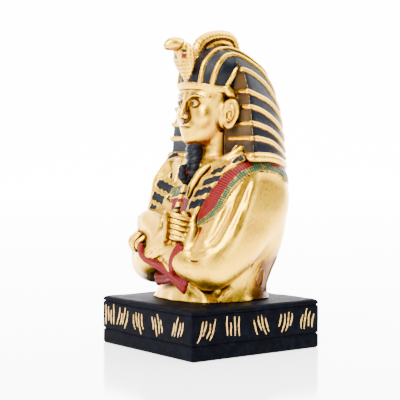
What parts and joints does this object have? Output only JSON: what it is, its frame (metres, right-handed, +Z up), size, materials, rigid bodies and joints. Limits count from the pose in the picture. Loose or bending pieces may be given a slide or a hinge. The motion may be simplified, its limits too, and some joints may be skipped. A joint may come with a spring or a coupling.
{
  "type": "pharaoh bust",
  "caption": "Small cast and painted bust of a pharaoh with striped headdress, crossed arms and broad collar, standing on a square plinth.",
  "frame": {"origin": "centre of the plinth's underside, which is the centre of the part's box at its lowest level", "axes": "+Z up through the crown, the figure looks along -Y, +X is towards the figure's own left"},
  "size_m": [0.075, 0.075, 0.1522],
  "materials": {
    "gold_paint": "cast resin brushed with gold paint over a dark wash, satin, with painted black, red and green details",
    "black_paint": "cast resin painted blue-black, satin, with raised strokes touched in gold"
  },
  "bodies": {
    "root": {"bust": "gold_paint", "plinth": "black_paint"}
  },
  "joints": []
}
